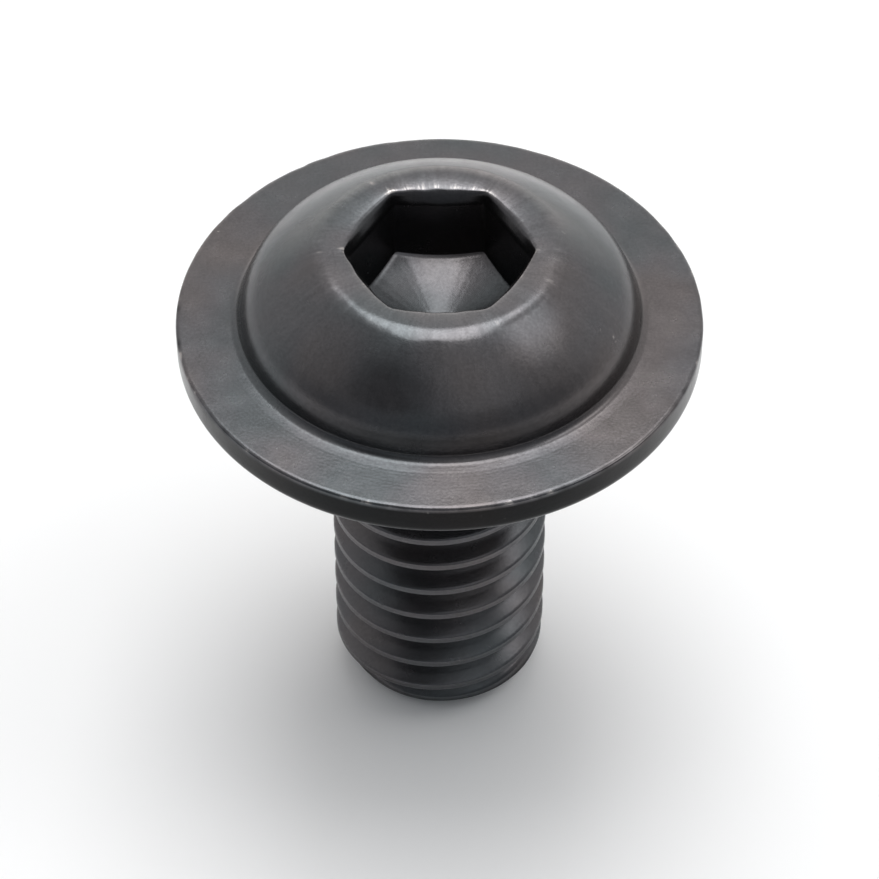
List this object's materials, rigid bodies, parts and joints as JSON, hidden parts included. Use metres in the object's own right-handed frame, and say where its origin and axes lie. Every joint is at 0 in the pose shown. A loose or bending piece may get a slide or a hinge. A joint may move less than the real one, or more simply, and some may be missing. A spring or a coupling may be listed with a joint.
{
  "type": "flanged button head socket screw",
  "caption": "Blackened steel button head screw with a wide built-in flange, a hexagon socket and a coarse thread up to the head, for clamping sheet or panels without a washer.",
  "frame": {"origin": "centre of the flat bearing face under the head, on the screw's axis", "axes": "+Z along the screw's axis from the tip up through the head, with the screw standing on its tip; +X through a corner of the hexagon socket"},
  "size_m": [0.0136, 0.0136, 0.0153],
  "materials": {
    "black_steel": "black oxide on forged steel, satin and lightly oiled"
  },
  "bodies": {
    "root": {"screw": "black_steel"}
  },
  "joints": []
}
